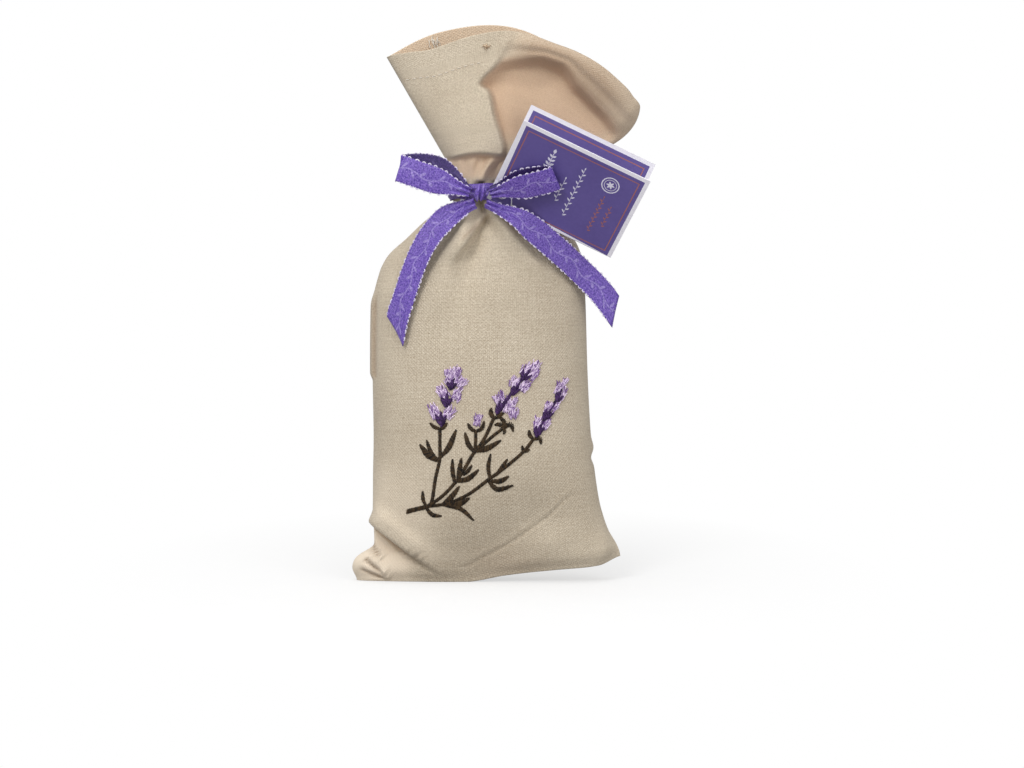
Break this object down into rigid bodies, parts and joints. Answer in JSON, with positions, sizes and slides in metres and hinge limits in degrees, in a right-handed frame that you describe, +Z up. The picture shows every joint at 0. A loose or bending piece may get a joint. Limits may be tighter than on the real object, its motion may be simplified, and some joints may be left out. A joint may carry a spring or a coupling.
{
  "type": "lavender sachet",
  "caption": "Standing cloth sachet filled with dried lavender, its neck tied with a ribbon bow that holds a folded paper label, and sprigs embroidered on the front.",
  "frame": {"origin": "middle of the foot, on the surface that the bag stands on", "axes": "+Z up through the tied neck, -Y out of the embroidered front, +X to the right as the front is seen"},
  "size_m": [0.1146, 0.0598, 0.2134],
  "materials": {
    "linen": "plain weave, unbleached, with slubs",
    "seam": "overlocked with off-white thread",
    "lavender": "loose dried buds",
    "ribbon": "woven satin with white picot edges",
    "label": "printed card, violet with a white border",
    "thread_dark": "dark brown embroidery thread",
    "thread_lilac": "lilac embroidery thread",
    "thread_purple": "dark purple embroidery thread"
  },
  "bodies": {
    "bag": {"bag_front_panel": "linen", "bag_back_panel": "linen", "side_seam_left": "seam", "side_seam_right": "seam", "bottom_seam": "seam", "lavender_filling": "lavender", "ribbon_neck_band": "ribbon", "ribbon_knot": "ribbon", "embroidery_stems": "thread_dark", "embroidery_florets_left": "thread_lilac", "embroidery_florets_middle": "thread_lilac", "embroidery_florets_right": "thread_lilac", "embroidery_florets_bud": "thread_lilac", "embroidery_calyces_left": "thread_purple", "embroidery_calyces_middle": "thread_purple", "embroidery_calyces_right": "thread_purple"},
    "loop_left": {"ribbon_loop_left": "ribbon"},
    "loop_right": {"ribbon_loop_right": "ribbon"},
    "tail_left": {"ribbon_tail_left": "ribbon"},
    "tail_right": {"ribbon_tail_right": "ribbon"},
    "label": {"label_back_leaf": "label"},
    "label_front": {"label_front_leaf": "label"}
  },
  "joints": [
    {"name": "label_swivel", "type": "hinge", "parent": "bag", "child": "label", "pos_m": [0.0058, -0.01578, 0.15], "axis": [0, -1, 0], "range_deg": [0, 30]},
    {"name": "label_opening", "type": "hinge", "parent": "label", "child": "label_front", "pos_m": [0.00385, -0.01648, 0.14595], "axis": [0.9011, 0, -0.4337], "range_deg": [-30, 0], "stiffness_Nm_per_rad": 0.0003},
    {"name": "loop_left_flex", "type": "hinge", "parent": "bag", "child": "loop_left", "pos_m": [-0.0062, -0.01948, 0.15], "axis": [0.3224, 0.0453, 0.9455], "range_deg": [-8, 20], "stiffness_Nm_per_rad": 0.0008},
    {"name": "loop_right_flex", "type": "hinge", "parent": "bag", "child": "loop_right", "pos_m": [0.0012, -0.02119, 0.15], "axis": [0.3673, 0.4023, -0.8386], "range_deg": [0, 18], "stiffness_Nm_per_rad": 0.0008},
    {"name": "tail_left_lift", "type": "hinge", "parent": "bag", "child": "tail_left", "pos_m": [-0.00488, -0.01948, 0.1461], "axis": [-0.856, 0, 0.517], "range_deg": [0, 60]},
    {"name": "tail_right_lift", "type": "hinge", "parent": "bag", "child": "tail_right", "pos_m": [-0.00012, -0.01998, 0.1461], "axis": [-0.6919, 0, -0.7219], "range_deg": [0, 35]}
  ]
}
